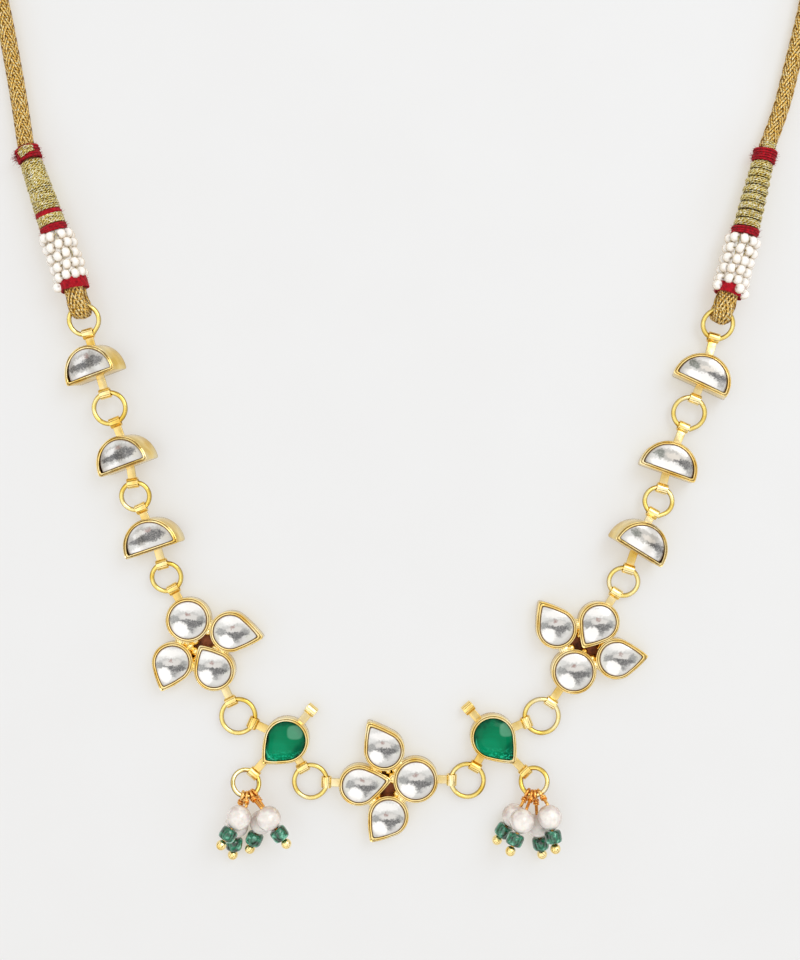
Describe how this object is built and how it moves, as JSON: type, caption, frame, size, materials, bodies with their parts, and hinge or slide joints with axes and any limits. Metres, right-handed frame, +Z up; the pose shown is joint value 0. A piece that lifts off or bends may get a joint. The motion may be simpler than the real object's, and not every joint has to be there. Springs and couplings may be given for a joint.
{
  "type": "necklace",
  "caption": "Kundan necklace laid flat: foil-backed glass in gold cups joined by jump rings, with beaded drops and a gold cord round the neck.",
  "frame": {"origin": "middle of the centre flower's flat back, on the surface the necklace lies on", "axes": "+Z up from the surface, +X to the necklace's right as seen from above, +Y towards the back of the neck"},
  "size_m": [0.167, 0.2524, 0.0097],
  "materials": {
    "gold_setting": "polished",
    "clear_glass": "foil backed",
    "green_glass": "foil backed",
    "ring_wire": "polished",
    "pin_wire": "polished",
    "pearl": "satin pearl",
    "green_bead": "gloss",
    "gold_cord": "braided metallic thread",
    "gold_thread": "wound metallic thread",
    "red_thread": "wound thread",
    "white_beads": "pearly",
    "barrel_gold": "satin"
  },
  "bodies": {
    "root": {"centre_flower": "gold_setting", "left_flower": "gold_setting", "right_flower": "gold_setting", "centre_flower_stone_1": "clear_glass", "centre_flower_stone_2": "clear_glass", "centre_flower_stone_3": "clear_glass", "centre_flower_stone_4": "clear_glass", "left_flower_stone_1": "clear_glass", "left_flower_stone_2": "clear_glass", "left_flower_stone_3": "clear_glass", "left_flower_stone_4": "clear_glass", "right_flower_stone_1": "clear_glass", "right_flower_stone_2": "clear_glass", "right_flower_stone_3": "clear_glass", "right_flower_stone_4": "clear_glass", "left_green_setting": "gold_setting", "left_green_stone": "green_glass", "right_green_setting": "gold_setting", "right_green_stone": "green_glass", "left_half_moon_1": "gold_setting", "left_half_moon_1_stone": "clear_glass", "left_half_moon_2": "gold_setting", "left_half_moon_2_stone": "clear_glass", "left_half_moon_3": "gold_setting", "left_half_moon_3_stone": "clear_glass", "right_half_moon_1": "gold_setting", "right_half_moon_1_stone": "clear_glass", "right_half_moon_2": "gold_setting", "right_half_moon_2_stone": "clear_glass", "right_half_moon_3": "gold_setting", "right_half_moon_3_stone": "clear_glass", "left_ring_1": "ring_wire", "left_ring_2": "ring_wire", "left_ring_3": "ring_wire", "left_ring_4": "ring_wire", "left_ring_5": "ring_wire", "left_ring_6": "ring_wire", "left_drop_ring": "ring_wire", "right_ring_1": "ring_wire", "right_ring_2": "ring_wire", "right_ring_3": "ring_wire", "right_ring_4": "ring_wire", "right_ring_5": "ring_wire", "right_ring_6": "ring_wire", "right_drop_ring": "ring_wire", "left_drop_pins": "pin_wire", "left_pearls": "pearl", "left_green_beads": "green_bead", "right_drop_pins": "pin_wire", "right_pearls": "pearl", "right_green_beads": "green_bead", "left_cord": "gold_cord", "left_gold_wrap": "gold_thread", "left_red_bands": "red_thread", "left_bead_sleeve": "white_beads", "right_cord": "gold_cord", "right_gold_wrap": "gold_thread", "right_red_bands": "red_thread", "right_bead_sleeve": "white_beads", "neck_barrel": "barrel_gold"}
  },
  "joints": []
}
